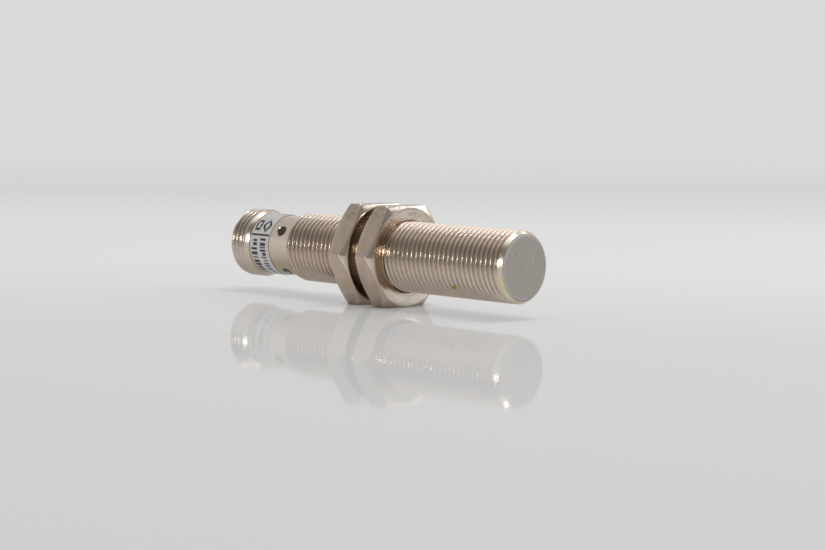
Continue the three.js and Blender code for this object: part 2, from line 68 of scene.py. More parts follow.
barrel_low, barrel_high = span("barrel")
cap_low, cap_high = span("sensing_cap")
label_low, label_high = span("label")
guide_low, guide_high = span("light_guide")
insert_low, insert_high = span("contact_insert")

REAR_X = barrel_low[0]
RIM_X = barrel_high[0]
CREST_RADIUS = barrel_high[2]
FACE_RADIUS = cap_high[2]
WINDOW_X = (guide_low[0] + guide_high[0]) / 2

# ---- Sizes of the barrel's detail, in millimetres ----

THREAD_PITCH = 1.0
THREAD_DEPTH = 0.61
PLUG_THREAD_DEPTH = 0.46
WAIST_RADIUS = 5.25
BORE_RADIUS = 4.8
FIRST_RIDGE_X = -1.95  # where a ridge of the long thread crosses +Y
THREAD_START_X = -0.85  # the long thread's grooves begin here, behind the plain front ring
THREAD_END_X = -49.05
WAIST_FRONT_X = THREAD_END_X - 0.35
COLLAR_X = -58.8  # front of the connector's plain collar
COLLAR_CREST_X = COLLAR_X - 0.78  # the collar slopes up to its full radius here
PLUG_START_X = -59.75  # the connector thread's grooves begin here
PLUG_RIDGE_X = -60.95
FIRST_WINDOW_ANGLE = 58
WINDOW_COUNT = 4
WINDOW_RADIUS = 1.0
COLUMNS = 120  # round the barrel

# ---- Meshes ----

JOIN_DISTANCE = 3e-7  # metres between points that become one


def around(x, radius, angle):
    """Points x along the axis, at a radius and an angle about it."""
    x, radius, angle = np.broadcast_arrays(x, radius, angle)
    return np.stack([x, radius * np.cos(angle), radius * np.sin(angle)], axis=-1)


def quads(rows, columns):
    """Four corners of each cell of a grid that is stored row by row."""
    row, column = np.meshgrid(np.arange(rows - 1), np.arange(columns - 1), indexing="ij")
    corner = (row * columns + column).ravel()
    return np.stack([corner, corner + 1, corner + columns + 1, corner + columns], axis=1)


def make_mesh(name, grids, marks=None, sharp=38):
    """One closed mesh from grids of points in millimetres, joined where their edges meet.

    marks holds one number for each point of each grid, kept as the attribute "mark". An edge
    turned by more than sharp degrees stays crisp.
    """
    points = np.concatenate([g.reshape(-1, 3) for g in grids]) * MM
    starts = np.cumsum([0] + [g.shape[0] * g.shape[1] for g in grids[:-1]])
    faces = np.concatenate([quads(*g.shape[:2]) + s for g, s in zip(grids, starts)])
    mesh = bpy.data.meshes.new(name)
    mesh.from_pydata(points, [], faces)
    if marks is not None:
        values = np.concatenate([np.asarray(m).ravel() for m in marks]).astype(np.float32)
        mesh.attributes.new("mark", "FLOAT", "POINT").data.foreach_set("value", values)
    work = bmesh.new()
    work.from_mesh(mesh)
    bmesh.ops.remove_doubles(work, verts=work.verts, dist=JOIN_DISTANCE)
    bmesh.ops.dissolve_degenerate(work, edges=work.edges, dist=JOIN_DISTANCE / 3)
    bmesh.ops.recalc_face_normals(work, faces=work.faces)
    work.to_mesh(mesh)
    work.free()
    mesh.shade_smooth()
    mesh.set_sharp_from_angle(angle=math.radians(sharp))
    return mesh


def make_piece(name, grids, material, body, slot, stands_for=(), **options):
    """An object for the grids, which rides on a body and may stand for CAD nodes."""
    piece = bpy.data.objects.new(name, make_mesh(name, grids, **options))
    bpy.context.scene.collection.objects.link(piece)
    piece.data.materials.append(material)
    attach(piece, body)
    if stands_for:
        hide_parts(*stands_for)
    return piece


def revolve(profile, angles):
    """A profile of (x, radius) pairs carried round the axis through the angles."""
    profile = np.asarray(profile, float)
    return around(profile[:, :1], profile[:, 1:], angles[None, :])


def corner_arc(x, radius, size, start, end, steps=5):
    """Points (x, radius) of a round of a given size about a centre, from one angle to another."""
    turn = np.radians(np.linspace(start, end, steps))
    return np.stack([x + size * np.cos(turn), radius + size * np.sin(turn)], axis=1)


# ---- Materials ----


def add(tree, kind, inputs=None, **settings):
    """A shader node with its settings, and its inputs given as values or as sockets."""
    made = tree.nodes.new(kind)
    for key, value in settings.items():
        setattr(made, key, value)
    for key, value in (inputs or {}).items():
        socket = made.inputs[key]
        if isinstance(value, bpy.types.NodeSocket):
            tree.links.new(value, socket)
        else:
            socket.default_value = value
    return made


def new_material(name, **fixed):
    """A material with a Principled shader, whose fixed inputs are set on its own sockets."""
    material = bpy.data.materials.new(name)
    material.use_nodes = True
    tree = material.node_tree
    shader = tree.nodes["Principled BSDF"]
    for key, value in fixed.items():
        shader.inputs[key].default_value = value
    return material, tree, shader


def place(tree, scale=(1, 1, 1), location=(0, 0, 0)):
    """Object coordinates in millimetres, scaled and shifted."""
    coordinates = add(tree, "ShaderNodeTexCoord")
    factor = tuple(s / MM for s in scale)
    inputs = {"Vector": coordinates.outputs["Object"], "Scale": factor, "Location": location}
    return add(tree, "ShaderNodeMapping", inputs).outputs["Vector"]


def noise(tree, vector, scale=1.0, detail=3.0, roughness=0.55):
    """A cloudy number from 0 to 1."""
    inputs = {"Vector": vector, "Scale": scale, "Detail": detail, "Roughness": roughness}
    return add(tree, "ShaderNodeTexNoise", inputs).outputs["Fac"]


def remap(tree, value, low, high, to_low=0.0, to_high=1.0):
    """A number carried from one range to another and held inside it."""
    inputs = {
        "Value": value,
        "From Min": low,
        "From Max": high,
        "To Min": to_low,
        "To Max": to_high,
    }
    return add(tree, "ShaderNodeMapRange", inputs).outputs["Result"]


def mix_colour(tree, factor, first, second):
    """One colour turning into another."""
    made = add(tree, "ShaderNodeMix", data_type="RGBA")
    for socket, value in zip((made.inputs[0], made.inputs[6], made.inputs[7]), (factor, first, second)):
        if isinstance(value, bpy.types.NodeSocket):
            tree.links.new(value, socket)
        else:
            socket.default_value = (*value, 1) if isinstance(value, tuple) else value
    return made.outputs[2]


def calculate(tree, operation, first, second=0.0):
    """One arithmetic step on two numbers."""
    return add(tree, "ShaderNodeMath", {0: first, 1: second}, operation=operation).outputs[0]


def bump(tree, height, distance, strength=1.0):
    """A normal tilted by a height, whose full step is a distance in millimetres."""
    inputs = {"Height": height, "Distance": distance * MM, "Strength": strength}
    return add(tree, "ShaderNodeBump", inputs).outputs["Normal"]


NICKEL_LIGHT = (0.65, 0.55, 0.46)
NICKEL_DARK = (0.58, 0.48, 0.395)
NUT_LIGHT = (0.62, 0.505, 0.405)
NUT_DARK = (0.55, 0.445, 0.355)
NICKEL_UPPER_SHADE = (0.56, 0.475, 0.4)  # painted shade: the thread's upper half painted duller
# painted light: the grooves paler, lifting their shade
NICKEL_GROOVE_LIFT = (0.80, 0.73, 0.665)
# painted light: the smooth waist in a paler nickel
NICKEL_WAIST_LIT = (0.81, 0.70, 0.575)
NICKEL_WAIST_SHADE = (0.55, 0.46, 0.355)  # painted shade: the smooth waist darkened towards the table
NICKEL_WEAR_AND_SHEEN = (0.93, 0.87, 0.80)  # bright edges of the nuts, partly wear and partly a painted highlight, and a painted sheen on the thread's front
NICKEL_FACE_SHEEN = (0.95, 0.875, 0.76)  # painted reflection on the front nut's face
NICKEL_RING_SHEEN = (0.80, 0.74, 0.62)  # painted sheen on the front ring and the connector collar
NICKEL_YELLOW = (0.72, 0.67, 0.42)
# dirt in the grooves and scuffs, and painted shade on the rear nut's face in the gap
NICKEL_DIRT_AND_SHADE = (0.22, 0.175, 0.13)
PAINT_SPECK = (0.42, 0.36, 0.04)
PAINT_SPECK_X = -11.24
PAINT_SPECK_ANGLE = math.radians(221)


def spot(tree, centre, size):
    """1 inside a ragged spot of about the given half sizes about a centre, and 0 outside it.

    The distance from the centre, in half sizes, is roughened by up to a half each way.
    """
    scale = tuple(1 / part for part in size)
    shift = tuple(-c / part for c, part in zip(centre, size))
    vector = place(tree, scale, shift)
    length = add(tree, "ShaderNodeVectorMath", {0: vector}, operation="LENGTH").outputs["Value"]
    ragged = calculate(tree, "ADD", length, remap(tree, noise(tree, place(tree), 2.5), 0, 1, -0.5, 0.5))
    return remap(tree, ragged, 0.8, 1.1, 1.0, 0.0)


def split_place(tree):
    """The x, y and z of a point in millimetres."""
    return add(tree, "ShaderNodeSeparateXYZ", {"Vector": place(tree)}).outputs


def barrel_nickel(tree, cloud, fine, colour):
    """Colour of the turned tube, laid on in the order of its length.

    The thread's front carries a painted sheen, less near the bottom, and its upper half is painted
    duller as painted shade. Its grooves are painted paler to lift their shade, and partly soiled. The
    waist is painted paler, and painted shade darkens it downwards. The collar and the front ring are
    painted pale as a painted sheen, the collar most at its top. The front ring is yellowed in places,
    and one speck of paint sits low on the thread.
    """
    groove = add(tree, "ShaderNodeAttribute", attribute_name="mark").outputs["Fac"]
    x, _, z = split_place(tree)[:3]

    # Painted sheen on the thread's front, less near the bottom
    front_sheen = calculate(tree, "MULTIPLY", remap(tree, x, -45, -25), remap(tree, z, -5, -3.5, 0.05, 0.25))
    bright = mix_colour(tree, front_sheen, colour, NICKEL_WEAR_AND_SHEEN)
    # Painted shade: the thread's upper half duller
    crest = mix_colour(tree, remap(tree, z, -1.5, 0.3), bright, NICKEL_UPPER_SHADE)
    # Grooves painted paler to lift their shade
    colour = mix_colour(tree, remap(tree, groove, 0.3, 1.0), crest, NICKEL_GROOVE_LIFT)
    dirt = calculate(tree, "MULTIPLY", remap(tree, groove, 0.5, 1.0), remap(tree, fine, 0.5, 0.7))
    colour = mix_colour(tree, calculate(tree, "MULTIPLY", dirt, 0.25), colour, NICKEL_DIRT_AND_SHADE)

    ahead_of_collar = remap(tree, x, COLLAR_X - 0.05, COLLAR_X + 0.05)
    behind_thread = remap(tree, x, WAIST_FRONT_X + 0.1, WAIST_FRONT_X - 0.05)
    waist = calculate(tree, "MULTIPLY", ahead_of_collar, behind_thread)
    # Painted light and shade: the waist paler, and darker towards the table
    smooth = mix_colour(tree, remap(tree, z, 1.6, -2.6), NICKEL_WAIST_LIT, NICKEL_WAIST_SHADE)
    colour = mix_colour(tree, waist, colour, smooth)

    ahead_of_plug = remap(tree, x, PLUG_START_X, PLUG_START_X + 0.25)
    behind_label = remap(tree, x, COLLAR_X + 0.02, COLLAR_X - 0.02)
    collar = calculate(tree, "MULTIPLY", ahead_of_plug, behind_label)
    # Painted sheen: the collar paler, most at its top
    collar_sheen = calculate(tree, "MULTIPLY", collar, remap(tree, z, 0, -3, 0.5, 0.1))
    colour = mix_colour(tree, collar_sheen, colour, NICKEL_RING_SHEEN)

    ring = remap(tree, x, THREAD_START_X - 0.3, THREAD_START_X + 0.15)
    # Painted sheen: the front ring paler
    colour = mix_colour(tree, calculate(tree, "MULTIPLY", ring, 0.7), colour, NICKEL_RING_SHEEN)
    tint = calculate(tree, "MULTIPLY", ring, remap(tree, cloud, 0.46, 0.56))
    colour = mix_colour(tree, tint, colour, NICKEL_YELLOW)

    across = CREST_RADIUS * math.cos(PAINT_SPECK_ANGLE), CREST_RADIUS * math.sin(PAINT_SPECK_ANGLE)
    speck = spot(tree, (PAINT_SPECK_X, *across), (0.3, 0.45, 0.5))
    return mix_colour(tree, speck, colour, PAINT_SPECK)


def nut_nickel(tree, fine, colour):
    """Colour of a nut, and the depth of its scuffs.

    Its edges are painted bright, fainter below: partly wear and partly a painted highlight. The
    front nut's face is painted pale towards its top and bottom as a painted reflection, and the rear
    nut's face in the gap is darkened with painted shade. Scuffs gather at the top and bottom in
    patches, fainter below.
    """
    edge = add(tree, "ShaderNodeAttribute", attribute_name="mark").outputs["Fac"]
    x, _, z = split_place(tree)[:3]
    height = calculate(tree, "ABSOLUTE", z)
    # Bright edges: partly wear, partly a painted highlight, fainter below
    wear_and_highlight = calculate(tree, "MULTIPLY", edge, remap(tree, fine, 0.35, 0.55, 0.45, 1.0))
    wear_and_highlight = calculate(tree, "MULTIPLY", wear_and_highlight, remap(tree, z, -3.0, -1.0, 0.35, 1.0))
    colour = mix_colour(tree, wear_and_highlight, colour, NICKEL_WEAR_AND_SHEEN)

    front_face = span("front_nut")[1][0]
    # Painted reflection: the front nut's face paler towards its top and bottom
    face_sheen = calculate(tree, "MULTIPLY", remap(tree, height, 4.5, 6.8), remap(tree, z, -3.0, 3.0, 0.85, 0.6))
    face_sheen = calculate(tree, "MULTIPLY", face_sheen, remap(tree, x, front_face - 0.1, front_face - 0.05))
    colour = mix_colour(tree, face_sheen, colour, NICKEL_FACE_SHEEN)

    meeting_face = span("rear_nut")[1][0]
    # Painted shade on the rear nut's face in the gap between the nuts
    gap_shade = remap(tree, x, meeting_face - 0.1, meeting_face - 0.02, 0.0, 0.55)
    passed = remap(tree, x, meeting_face + 0.5, meeting_face + 0.6, 1.0, 0.0)
    colour = mix_colour(tree, calculate(tree, "MULTIPLY", gap_shade, passed), colour, NICKEL_DIRT_AND_SHADE)

    scratches = noise(tree, place(tree, (0.6, 1.2, 2.6)), 1.4, 8.0, 0.8)
    pits = noise(tree, place(tree, (1.5, 1.5, 1.5)), 2.2, 6.0, 0.75)
    patch = noise(tree, place(tree, (0.3, 0.3, 0.3), (3, 1, 2)), 1.0, 2.0)
    share = calculate(tree, "MULTIPLY", remap(tree, height, 5.2, 7.0), remap(tree, patch, 0.4, 0.52))
    scuffs = calculate(tree, "MULTIPLY", remap(tree, scratches, 0.5, 0.58), share)
    dents = calculate(tree, "MULTIPLY", remap(tree, pits, 0.64, 0.7), remap(tree, patch, 0.52, 0.6))
    mark = calculate(tree, "MAXIMUM", scuffs, dents)
    mark = calculate(tree, "MULTIPLY", mark, remap(tree, z, -6.0, -4.0, 0.6, 1.0))
    return mix_colour(tree, calculate(tree, "MULTIPLY", mark, 0.7), colour, NICKEL_DIRT_AND_SHADE), mark


def nickel_plate(name, turned=True):
    """Nickel plating over brass, with a cloudy tone: fine tool lines if turned, scuffs if not."""
    material, tree, shader = new_material(name, Metallic=1.0)
    cloud = noise(tree, place(tree, (0.5, 0.5, 0.5)), 1.0, 4.0)
    light, dark = (NICKEL_LIGHT, NICKEL_DARK) if turned else (NUT_LIGHT, NUT_DARK)
    colour = mix_colour(tree, remap(tree, cloud, 0.35, 0.65), light, dark)
    fine = noise(tree, place(tree, (2, 2, 2)), 1.6, 5.0, 0.65)
    rough = remap(tree, fine, 0.3, 0.7, 0.12, 0.22)
    stretch = (22, 0.35, 0.35) if turned else (3, 3, 3)
    height = noise(tree, place(tree, stretch), 1.0, 2.0)
    if turned:
        colour = barrel_nickel(tree, cloud, fine, colour)
        rough = calculate(tree, "ADD", rough, 0.06)
    else:
        colour, mark = nut_nickel(tree, fine, colour)
        rough = calculate(tree, "ADD", rough, calculate(tree, "MULTIPLY", mark, 0.2))
        height = calculate(tree, "SUBTRACT", calculate(tree, "MULTIPLY", height, 0.3), mark)
    tree.links.new(colour, shader.inputs["Base Color"])
    tree.links.new(rough, shader.inputs["Roughness"])
    tree.links.new(bump(tree, height, 0.004, 0.5), shader.inputs["Normal"])
    return material


def moulded_plastic(name, light, dark, roughness, grain=9.0):
    """Moulded plastic: a fine grain and a faint cloud in its tone."""
    material, tree, shader = new_material(name)
    cloud = noise(tree, place(tree, (0.35, 0.35, 0.35)), 1.0, 3.0)
    colour = mix_colour(tree, remap(tree, cloud, 0.3, 0.7), light, dark)
    fine = noise(tree, place(tree), grain, 2.0)
    tree.links.new(colour, shader.inputs["Base Color"])
    spread = remap(tree, fine, 0.3, 0.7, roughness - 0.06, roughness + 0.06)
    tree.links.new(spread, shader.inputs["Roughness"])
    tree.links.new(bump(tree, fine, 0.01, 0.35), shader.inputs["Normal"])
    return material


def face_plastic():
    """Grey cap: a fine grain, warmer to one side, with a painted highlight at its edge, a pinhole, a
    faint dent and a pale smudge."""
    material, tree, shader = new_material("face_grey")
    cloud = noise(tree, place(tree, (0.25, 0.25, 0.25)), 1.0, 3.0)
    colour = mix_colour(tree, remap(tree, cloud, 0.3, 0.7), (0.412, 0.376, 0.354), (0.39, 0.354, 0.332))
    side = split_place(tree)["Y"]
    colour = mix_colour(tree, remap(tree, side, -5, 5, 0.0, 0.6), colour, (0.393, 0.362, 0.317))
    colour = mix_colour(tree, spot(tree, (0, -2.4, 2.4), (0.3, 0.13, 0.13)), colour, (0.06, 0.055, 0.05))
    dent = calculate(tree, "MULTIPLY", spot(tree, (0, -0.83, -0.58), (0.4, 0.3, 0.3)), 0.35)
    colour = mix_colour(tree, dent, colour, (0.2, 0.185, 0.17))
    smudge = calculate(tree, "MULTIPLY", spot(tree, (0, 1.9, 1.5), (0.4, 0.25, 0.85)), 0.35)
    colour = mix_colour(tree, smudge, colour, (0.55, 0.52, 0.49))
    across = {0: place(tree, (0, 1, 1))}
    radius = add(tree, "ShaderNodeVectorMath", across, operation="LENGTH").outputs["Value"]
    # Painted highlight: paler towards the rounded edge
    colour = mix_colour(tree, remap(tree, radius, 4.85, 5.25, 0.0, 0.6), colour, (0.52, 0.49, 0.465))
    grain = noise(tree, place(tree), 9.0, 2.0)
    tree.links.new(colour, shader.inputs["Base Color"])
    tree.links.new(remap(tree, grain, 0.3, 0.7, 0.36, 0.5), shader.inputs["Roughness"])
    tree.links.new(bump(tree, grain, 0.008, 0.35), shader.inputs["Normal"])
    return material


def plated_metal(name, light, dark, roughness):
    """Bright metal with a slight cloud in its tone and gloss."""
    material, tree, shader = new_material(name, Metallic=1.0)
    cloud = noise(tree, place(tree), 1.5, 4.0)
    colour = mix_colour(tree, remap(tree, cloud, 0.35, 0.65), light, dark)
    tree.links.new(colour, shader.inputs["Base Color"])
    spread = remap(tree, cloud, 0.3, 0.7, roughness - 0.05, roughness + 0.08)
    tree.links.new(spread, shader.inputs["Roughness"])
    return material


def wound_wire(name):
    """Enamelled copper wire wound in fine turns, which show as ridges along the axis."""
    material, tree, shader = new_material(name, Metallic=1.0)
    inputs = {"Vector": place(tree, (8, 0, 0)), "Scale": 1.0, "Distortion": 0.4}
    ridges = add(tree, "ShaderNodeTexWave", inputs, bands_direction="X").outputs["Fac"]
    # Painted shade: darker between the turns
    colour = mix_colour(tree, ridges, (0.35, 0.12, 0.04), (0.75, 0.36, 0.17))
    tree.links.new(colour, shader.inputs["Base Color"])
    tree.links.new(remap(tree, ridges, 0, 1, 0.45, 0.25), shader.inputs["Roughness"])
    tree.links.new(bump(tree, ridges, 0.05), shader.inputs["Normal"])
    return material


nickel_barrel = nickel_plate("nickel_barrel")
nickel_nut = nickel_plate("nickel_nut", turned=False)
face_grey = face_plastic()
label_foil = moulded_plastic("label_foil", (0.595, 0.582, 0.565), (0.54, 0.527, 0.51), 0.38, 5.0)
label_ink = moulded_plastic("label_ink", (0.035, 0.036, 0.04), (0.02, 0.02, 0.022), 0.35, 5.0)
smoked_lens = moulded_plastic("smoked_lens", (0.04, 0.022, 0.01), (0.016, 0.009, 0.004), 0.12, 0.6)
black_moulding = moulded_plastic("black_moulding", (0.022, 0.022, 0.024), (0.014, 0.014, 0.015), 0.45)
gold_plate = plated_metal("gold_plate", (0.9, 0.66, 0.28), (0.78, 0.52, 0.2), 0.2)

slot_materials = {
    "seal_rubber": moulded_plastic("seal_rubber", (0.02, 0.02, 0.02), (0.012, 0.012, 0.012), 0.7),
    "ferrite": moulded_plastic("ferrite", (0.09, 0.09, 0.1), (0.05, 0.05, 0.055), 0.6, 12.0),
    "bobbin_plastic": moulded_plastic("bobbin_plastic", (0.7, 0.66, 0.55), (0.62, 0.58, 0.48), 0.4),
    "copper_wire": wound_wire("copper_wire"),
    "tinned_metal": plated_metal("tinned_metal", (0.7, 0.71, 0.73), (0.6, 0.61, 0.63), 0.3),
    "potting_resin": moulded_plastic("potting_resin", (0.1, 0.08, 0.05), (0.07, 0.055, 0.04), 0.25, 1.0),
    "board_laminate": moulded_plastic("board_laminate", (0.02, 0.2, 0.07), (0.015, 0.15, 0.05), 0.35, 3.0),
    "chip_package": moulded_plastic("chip_package", (0.03, 0.03, 0.032), (0.02, 0.02, 0.021), 0.5),
    "chip_ceramic": moulded_plastic("chip_ceramic", (0.5, 0.38, 0.24), (0.42, 0.31, 0.2), 0.45),
    "lamp_lens": moulded_plastic("lamp_lens", (0.8, 0.6, 0.15), (0.72, 0.52, 0.12), 0.15, 2.0),
    "smoked_resin": smoked_lens,
}

# ---- Barrel ----

ROOT_RADIUS = CREST_RADIUS - THREAD_DEPTH
LIP_RADIUS = FACE_RADIUS + 0.05
SHOULDER_X = -0.75
FIRST_COLUMN = math.radians(FIRST_WINDOW_ANGLE - 180 / WINDOW_COUNT)
column_angles = FIRST_COLUMN + np.linspace(0, TURN, COLUMNS + 1)
PATCH_HALF = 2.05  # a window's patch reaches this far along the barrel on each side of it

# Places of the rows within one pitch: close together on the rounded crest, wide on the flanks
PITCH_ROWS = np.array([0, 0.055, 0.1, 0.2, 0.31, 0.42, 0.5, 0.58, 0.69, 0.8, 0.9, 0.945])


def thread_height(phase):
    """1 on the crest and 0 in the root, for a place in turns from a crest.

    A line falls from 1 to 0 between 0.07 and 0.43 of a turn. The height is 0.55 of that line
    and 0.45 of its smooth step, so the flanks are nearly straight and both ends rounded.
    """
    away = np.abs((phase + 0.5) % 1 - 0.5)
    flank = np.clip((0.43 - away) / 0.36, 0, 1)
    return 0.55 * flank + 0.45 * flank * flank * (3 - 2 * flank)


def helical_grid(front, rear, ridge, outline, groove_start, groove_depth):
    """A right-hand thread between two places on the axis, as rows that follow the helix.

    A row at s turns lies at x = ridge + pitch * (angle / turn - s). Its radius is the crest's
    less the groove's depth, and never over the outline's. Grooves begin at groove_start and
    reach their depth half a pitch on. Rows past an end lie on that end's circle.
    """
    most = (ridge - front) / THREAD_PITCH + column_angles[0] / TURN
    least = (ridge - rear) / THREAD_PITCH + column_angles[-1] / TURN
    turns = np.arange(math.floor(most), math.ceil(least) + 1)
    s = (turns[:, None] + PITCH_ROWS[None, :]).ravel()
    s = np.concatenate([[most], s[(s > most) & (s < least)], [least]])[:, None]
    x = np.clip(ridge + THREAD_PITCH * (column_angles[None, :] / TURN - s), rear, front)
    full = np.clip((groove_start - x) / (THREAD_PITCH / 2), 0, 1)
    depth = groove_depth * full * full * (3 - 2 * full)
    lowered = (1 - thread_height(s)) * depth
    radius = np.minimum(outline(x), CREST_RADIUS - lowered)
    return around(x, radius, column_angles[None, :]), lowered / groove_depth + 0 * x


def front_outline(x):
    """The lower of two slopes: 0.72 per mm behind the front rim, and 2 per mm ahead of the waist."""
    chamfer = LIP_RADIUS + 0.06 + (RIM_X - x) * 0.72
    step = WAIST_RADIUS + (x - WAIST_FRONT_X) * 2.0
    return np.clip(np.minimum(chamfer, step), WAIST_RADIUS, CREST_RADIUS)


def rear_outline(x):
    """Chamfer at the connector's rim: a slope of 1.05 per mm from just under the thread's root."""
    return np.minimum(CREST_RADIUS, ROOT_RADIUS - 0.03 + (x - REAR_X) * 1.05)


def window_patch(middle, radius, wall_radius):
    """A quarter of the waist with a round window in it, and half of the window's wall.

    A point is a blend between the window's circle and the patch's four-sided edge, both drawn
    on the unrolled waist and wrapped back round the axis.
    """
    half_turn = math.pi / WINDOW_COUNT
    across = np.linspace(-half_turn, half_turn, COLUMNS // WINDOW_COUNT + 1)
    along = np.linspace(-PATCH_HALF, PATCH_HALF, 13)
    edge = np.concatenate([
        np.stack([np.full_like(across, PATCH_HALF), across], axis=1)[:-1],
        np.stack([-along, np.full_like(along, half_turn)], axis=1)[:-1],
        np.stack([np.full_like(across, -PATCH_HALF), -across], axis=1)[:-1],
        np.stack([along, np.full_like(along, -half_turn)], axis=1),
    ])
    flat = edge * [1, WAIST_RADIUS]
    circle = WINDOW_RADIUS * flat / np.linalg.norm(flat, axis=1, keepdims=True) / [1, WAIST_RADIUS]
    share = np.array([0, 0, 0.03, 0.15, 0.4, 0.7, 1])[:, None, None]
    place_on = circle * (1 - share) + edge * share
    radii = np.array([wall_radius, radius + 0.04 * np.sign(wall_radius - radius)] + [radius] * 5)
    return around(WINDOW_X + place_on[..., 0], radii[:, None], middle + place_on[..., 1])


def build_barrel():
    """The whole tube as one closed skin: lip, thread, waist with its windows, connector, bore."""
    patch_front, patch_rear = WINDOW_X + PATCH_HALF, WINDOW_X - PATCH_HALF
    thread, thread_mark = helical_grid(
        RIM_X - 0.02, WAIST_FRONT_X, FIRST_RIDGE_X, front_outline, THREAD_START_X, THREAD_DEPTH
    )
    plug, plug_mark = helical_grid(
        COLLAR_CREST_X, REAR_X, PLUG_RIDGE_X, rear_outline, PLUG_START_X, PLUG_THREAD_DEPTH
    )
    lip = revolve([
        [SHOULDER_X, BORE_RADIUS],
        [SHOULDER_X, LIP_RADIUS],
        [RIM_X - 0.03, LIP_RADIUS],
        [RIM_X, LIP_RADIUS + 0.02],
        [RIM_X, LIP_RADIUS + 0.05],
        [RIM_X - 0.02, front_outline(RIM_X - 0.02)],
    ], column_angles)
    waist_front = revolve([[WAIST_FRONT_X, WAIST_RADIUS], [patch_front, WAIST_RADIUS]], column_angles)
    waist_rear = revolve([
        [patch_rear, WAIST_RADIUS],
        [COLLAR_X + 0.04, WAIST_RADIUS],
        [COLLAR_X, WAIST_RADIUS + 0.04],
        [COLLAR_X - 0.01, CREST_RADIUS - 0.5],
        [COLLAR_X - 0.05, CREST_RADIUS - 0.46],
        [COLLAR_X - 0.58, CREST_RADIUS - 0.07],
        [COLLAR_X - 0.68, CREST_RADIUS - 0.015],
        [COLLAR_CREST_X, CREST_RADIUS],
    ], column_angles)
    bore_rear = revolve([
        [REAR_X, rear_outline(REAR_X)],
        [REAR_X, BORE_RADIUS + 0.14],
        [REAR_X + 0.12, BORE_RADIUS],
        [patch_rear, BORE_RADIUS],
    ], column_angles)
    bore_front = revolve([[patch_front, BORE_RADIUS], [SHOULDER_X, BORE_RADIUS]], column_angles)
    middle_radius = (WAIST_RADIUS + BORE_RADIUS) / 2
    patches = []
    for k in range(WINDOW_COUNT):
        middle = math.radians(FIRST_WINDOW_ANGLE) + TURN * k / WINDOW_COUNT
        patches.append(window_patch(middle, WAIST_RADIUS, middle_radius))
        patches.append(window_patch(middle, BORE_RADIUS, middle_radius))
    plain = [lip, waist_front, waist_rear, bore_rear, bore_front, *patches]
    marks = [thread_mark, plug_mark] + [np.zeros(g.shape[:2]) for g in plain]
    make_piece(
        "threaded_barrel",
        [thread, plug, *plain],
        nickel_barrel,
        "barrel_assembly",
        "nickel_brass",
        ["barrel"],
        marks=marks,
    )


def build_windows():
    """The smoked ring inside the waist, with a slightly domed lens in each window."""
    reach = WINDOW_RADIUS - 0.02
    share = np.array([0, 0.35, 0.7, 0.92, 1, 1])[:, None]
    lift = np.array([0.0, -0.005, -0.02, -0.04, -0.06, -0.35])[:, None]
    turn = np.linspace(0, TURN, 33)[None, :]
    grids = []
    for k in range(WINDOW_COUNT):
        middle = math.radians(FIRST_WINDOW_ANGLE) + TURN * k / WINDOW_COUNT
        along = WINDOW_X + reach * share * np.cos(turn)
        angle = middle + reach * share * np.sin(turn) / WAIST_RADIUS
        lens = around(along, WAIST_RADIUS - 0.07 + lift, angle)
        base = np.repeat(lens[-1:].mean(axis=1, keepdims=True), lens.shape[1], axis=1)
        grids.append(np.concatenate([lens, base]))
    inner, outer = guide_high[2] - 0.4, guide_high[2] - 0.08
    ends = guide_low[0], guide_high[0]
    ring = revolve([
        [ends[0], inner], [ends[0], outer], [ends[1], outer], [ends[1], inner], [ends[0], inner],
    ], column_angles)
    make_piece(
        "window_lenses", [ring, *grids], smoked_lens, "barrel_assembly", "smoked_resin", ["light_guide"]
    )


# ---- Sensing end ----


def build_sensing_cap():
    """The grey face with its rounded edge, and the skirt inside the tube."""
    edge = 0.25
    flange = 0.45
    skirt, wall = BORE_RADIUS - 0.05, 0.35
    back = cap_low[0]
    profile = [
        [[0, 0], [0, 1.2], [0, 2.4], [0, 3.6], [0, 4.5]],
        corner_arc(-edge, FACE_RADIUS - edge, edge, 0, 90, 7),
        [[-flange, FACE_RADIUS], [-flange, skirt], [back, skirt], [back, skirt - wall]],
        [[-0.8, skirt - wall], [-0.8, 0]],
    ]
    make_piece(
        "face_cap",
        [revolve(np.concatenate(profile), column_angles)],
        face_grey,
        "barrel_assembly",
        "face_plastic",
        ["sensing_cap"],
    )


# ---- Label ----

LABEL_SEAM = math.radians(340)
LABEL_GAP = math.radians(8)
LABEL_TOP = label_high[2]
LABEL_THICKNESS = 0.08
INK = 0.008  # thickness of the print
RULE_ANGLES = 158.4, 162
SQUARE = [[-57.1, 149], [-58.1, 149], [-58.1, 130], [-57.1, 130], [-57.1, 149]]
DIAMOND = [[-54.75, 140], [-55.55, 152.5], [-56.35, 140], [-55.55, 127.5], [-54.75, 140]]
BAR_ROWS = (-54.85, -56.2, 167, 300), (-56.95, -58.35, 169, 290)  # front, rear, first, last angle
BAR_WIDTHS = [2.6, 4.2, 6.0]  # degrees
BAR_GAPS = [1.8, 2.4, 4.0]
BAR_INSETS = [0, 0, 0.45]
BACK_RULE_X = -54.9


def wrapped_slab(x_from, x_to, from_angle, to_angle, inner, outer, columns):
    """A closed curved slab: a flat rectangle with a thickness, wrapped round the axis."""
    x = np.array([x_from, x_to])
    rows = [(x[0], inner), (x[1], inner), (x[1], outer), (x[0], outer), (x[0], inner)]
    angles = np.linspace(from_angle, to_angle, columns)
    skin = revolve(rows, angles)
    lids = [
        np.array([[skin[0, c], skin[1, c]], [skin[3, c], skin[2, c]]]) for c in (0, columns - 1)
    ]
    return [skin, *lids]


